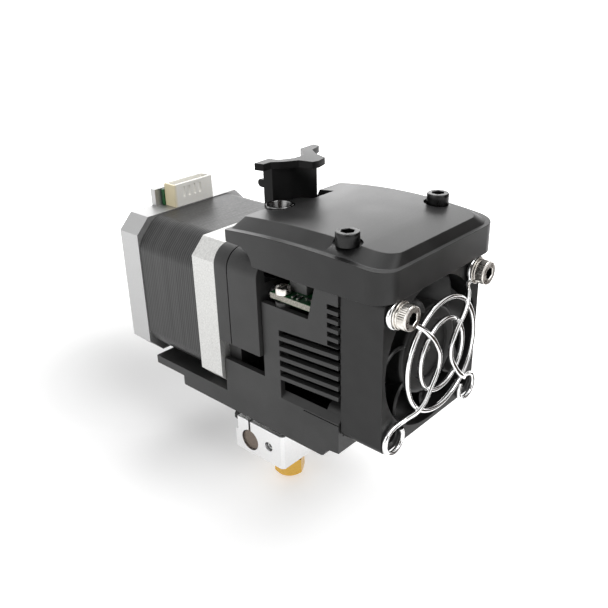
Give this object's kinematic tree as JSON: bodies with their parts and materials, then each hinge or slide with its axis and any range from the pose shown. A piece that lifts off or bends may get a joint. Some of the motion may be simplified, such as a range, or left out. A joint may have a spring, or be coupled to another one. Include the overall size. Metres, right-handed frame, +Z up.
{
  "type": "hotend assembly",
  "caption": "Direct-drive print head: stepper motor, filament drive with sprung lever, lidded housing with cooling fan and guard, heater block and nozzle.",
  "frame": {"origin": "centre of the flat under the foot, by which the head is screwed to its carriage", "axes": "+Z up, +Y back along the motor shaft, so the fan faces -Y; +X to the right seen from the fan"},
  "size_m": [0.0484, 0.0973, 0.0928],
  "materials": {
    "pale_alloy": "fine cast surface",
    "cast_alloy": "grey cast surface",
    "laminations": "dark lacquered sheet edges",
    "steel": "satin",
    "nickel": "bright plate",
    "chrome": "polished",
    "black_steel": "black oxide, half gloss",
    "black_plastic": "moulded, half matt",
    "lid_plastic": "moulded, fine grain, soft sheen",
    "fan_plastic": "moulded, half matt",
    "ivory": "moulded nylon",
    "copper": "enamelled wire",
    "magnet": "ground",
    "brass": "turned",
    "aluminium": "milled",
    "anodised": "black anodised",
    "solder_mask": "green lacquer",
    "grey_plastic": "moulded",
    "clear_polymer": "milky",
    "ceramic": "dull metal and ceramic"
  },
  "bodies": {
    "frame": {"motor_front_cap": "pale_alloy", "motor_stack": "laminations", "motor_rear_cap": "cast_alloy", "motor_coils": "copper", "motor_front_bearing": "steel", "motor_rear_bearing": "steel", "motor_screw_1": "steel", "motor_screw_2": "steel", "motor_screw_3": "steel", "motor_screw_4": "steel", "motor_connector": "ivory", "motor_connector_pins": "nickel", "mount_plate": "black_plastic", "mount_screw_1": "black_steel", "mount_screw_2": "black_steel", "mount_screw_3": "black_steel", "idler_pivot_pin": "steel", "idler_spring": "steel", "housing": "black_plastic", "heatsink": "anodised", "heatsink_screw": "black_steel", "filament_guide": "clear_polymer", "heat_break": "steel", "heater_block": "aluminium", "heater_cartridge": "ceramic", "thermistor": "steel", "block_grub_screw": "black_steel", "block_clamp_screw": "black_steel", "nozzle": "brass", "inlet_tube": "clear_polymer", "inlet_collar": "black_steel", "circuit_board": "solder_mask", "board_screw_left": "nickel", "board_screw_right": "nickel", "board_connector": "grey_plastic", "lid": "lid_plastic", "lid_screw_left": "black_steel", "lid_screw_right": "black_steel", "cable_bracket": "black_plastic", "bracket_screw_left": "black_steel", "bracket_screw_right": "black_steel", "fan_frame": "fan_plastic", "fan_stator": "copper", "fan_guard": "chrome", "fan_washer_left": "nickel", "fan_spring_washer_left": "nickel", "fan_screw_left": "nickel", "fan_washer_right": "nickel", "fan_spring_washer_right": "nickel", "fan_screw_right": "nickel"},
    "drive": {"motor_shaft": "steel", "motor_rotor": "magnet", "drive_gear": "brass", "gear_grub_screw": "black_steel"},
    "idler": {"idler_lever": "black_plastic", "idler_axle": "steel"},
    "roller": {"idler_roller": "steel"},
    "fan_wheel": {"fan_rotor": "fan_plastic", "fan_shaft": "steel"}
  },
  "joints": [
    {"name": "drive_spin", "type": "hinge", "parent": "frame", "child": "drive", "pos_m": [-0.0005, -0.009, 0.027], "axis": [0, 1, 0], "continuous": true},
    {"name": "lever_swing", "type": "hinge", "parent": "frame", "child": "idler", "pos_m": [-0.01525, -0.0191, 0.0376], "axis": [0, 1, 0], "range_deg": [0, 12], "stiffness_Nm_per_rad": 0.2, "springref_deg": -45.84, "deforming": ["idler_spring"]},
    {"name": "roller_spin", "type": "hinge", "parent": "idler", "child": "roller", "pos_m": [-0.0114, -0.019, 0.027], "axis": [0, 1, 0], "continuous": true},
    {"name": "fan_spin", "type": "hinge", "parent": "frame", "child": "fan_wheel", "pos_m": [0, -0.055, 0.0277], "axis": [0, 1, 0], "continuous": true}
  ],
  "couplings": [
    {"joint": "roller_spin", "follows": "drive_spin", "ratio": -1.12}
  ]
}
